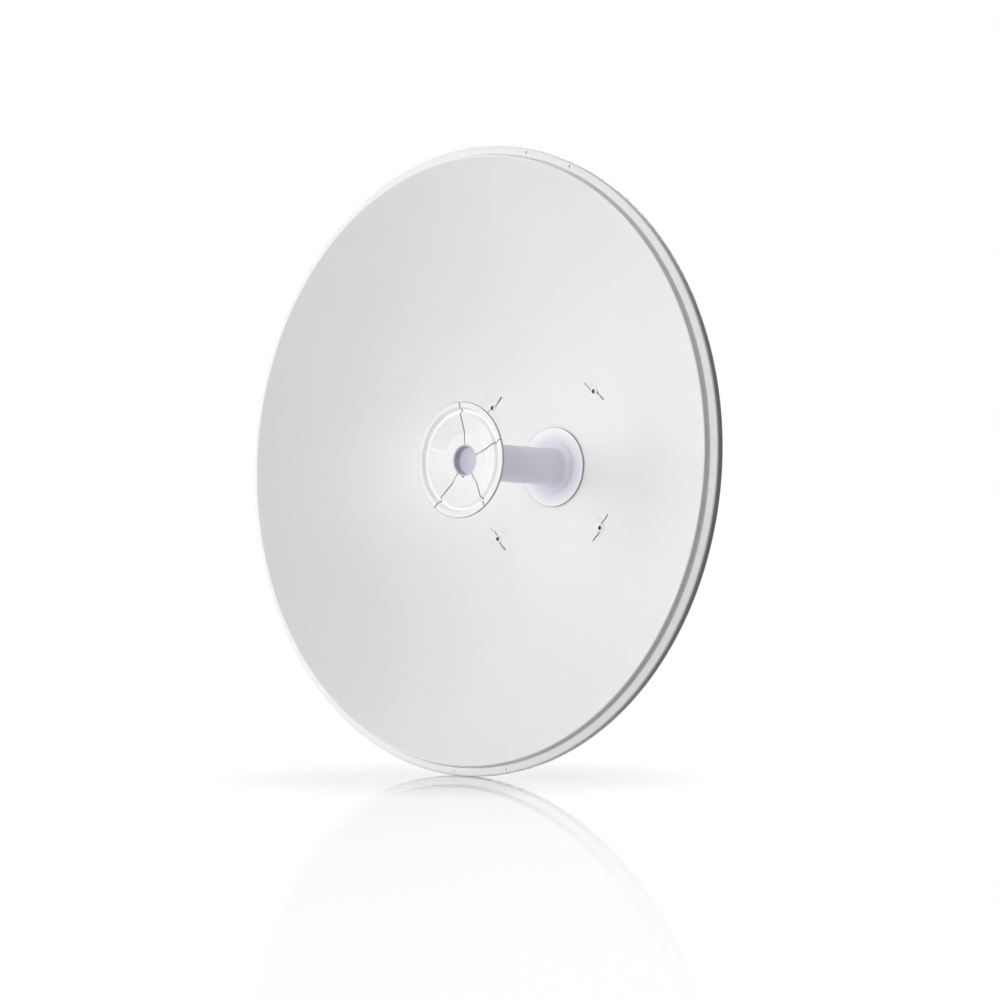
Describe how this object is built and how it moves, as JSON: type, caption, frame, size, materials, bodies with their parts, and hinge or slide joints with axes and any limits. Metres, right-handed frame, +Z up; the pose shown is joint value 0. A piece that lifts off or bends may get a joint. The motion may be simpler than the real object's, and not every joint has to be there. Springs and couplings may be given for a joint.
{
  "type": "outdoor wireless bridge",
  "caption": "Parabolic point-to-point radio with a central splash-plate feed, a rear radio housing and a tilting pole clamp.",
  "frame": {"origin": "axis of the carrying pole, level with the middle of the pole bracket and the dish axis", "axes": "+Z up along the pole; -Y the direction the dish looks; +X to the right when seen from in front of the dish"},
  "size_m": [0.65, 0.3805, 0.65],
  "materials": {
    "dish_paint": "smooth satin powder coat",
    "white_plastic": "fine satin moulding",
    "tube_plastic": "satin moulding, cool grey",
    "grey_plastic": "fine satin moulding",
    "black_plastic": "matte moulding",
    "rubber": "matte",
    "steel": "plain stainless fastener",
    "bracket_zinc": "galvanised sheet",
    "cast_alloy": "fine cast",
    "circuit_green": "solder mask",
    "light_pipe": "translucent moulding"
  },
  "bodies": {
    "pole_mount": {"pole_bracket": "bracket_zinc", "clamp_bolt_1": "steel", "clamp_bolt_2": "steel", "clamp_bolt_3": "steel", "clamp_bolt_4": "steel"},
    "dish_head": {"reflector": "dish_paint", "feed_collar": "white_plastic", "feed_cap": "white_plastic", "splash_plate": "cast_alloy", "feed_tube": "tube_plastic", "tube_end_cup": "tube_plastic", "waveguide": "cast_alloy", "dielectric_plug": "white_plastic", "feed_gasket": "rubber", "feed_lock_ring": "grey_plastic", "dish_frame": "cast_alloy", "bracket_bolt_1": "steel", "bracket_bolt_2": "steel", "bracket_bolt_3": "steel", "bracket_bolt_4": "steel", "bracket_nut_1": "steel", "bracket_nut_2": "steel", "bracket_nut_3": "steel", "bracket_nut_4": "steel", "ground_screw": "steel", "ground_washer": "steel", "radio_base": "grey_plastic", "housing_gasket": "rubber", "radio_cover": "white_plastic", "housing_screw_1": "steel", "housing_screw_2": "steel", "housing_screw_3": "steel", "housing_screw_4": "steel", "radio_board": "circuit_green", "rf_shield": "steel", "feed_probe": "steel", "heat_spreader": "cast_alloy", "ethernet_jack": "black_plastic", "led_window": "light_pipe", "vent_plug": "black_plastic", "door_pin": "steel", "pivot_bolt_right": "steel", "pivot_nut_right": "steel", "lock_bolt_right": "steel", "lock_nut_right": "steel", "pivot_bolt_left": "steel", "pivot_nut_left": "steel", "lock_bolt_left": "steel", "lock_nut_left": "steel"},
    "upper_clamp": {"upper_jaw": "bracket_zinc", "clamp_nut_1": "steel", "clamp_nut_2": "steel"},
    "lower_clamp": {"lower_jaw": "bracket_zinc", "clamp_nut_3": "steel", "clamp_nut_4": "steel"},
    "port_flap": {"port_door": "white_plastic", "cable_grommet": "rubber"},
    "reset_key": {"reset_button": "grey_plastic"}
  },
  "joints": [
    {"name": "elevation_tilt", "type": "hinge", "parent": "pole_mount", "child": "dish_head", "pos_m": [0, -0.066, 0], "axis": [-1, 0, 0], "range_deg": [-15, 30]},
    {"name": "upper_clamp_travel", "type": "slide", "parent": "pole_mount", "child": "upper_clamp", "axis": [0, 1, 0], "range_m": [-0.017, 0.037]},
    {"name": "lower_clamp_travel", "type": "slide", "parent": "pole_mount", "child": "lower_clamp", "axis": [0, 1, 0], "range_m": [-0.017, 0.037]},
    {"name": "port_door_hinge", "type": "hinge", "parent": "dish_head", "child": "port_flap", "pos_m": [0, -0.09, -0.0776], "axis": [1, 0, 0], "range_deg": [0, 95]},
    {"name": "reset_press", "type": "slide", "parent": "dish_head", "child": "reset_key", "axis": [0, -1, 0], "range_m": [0, 0.001], "stiffness_N_per_m": 300, "springref_m": -0.0005}
  ]
}
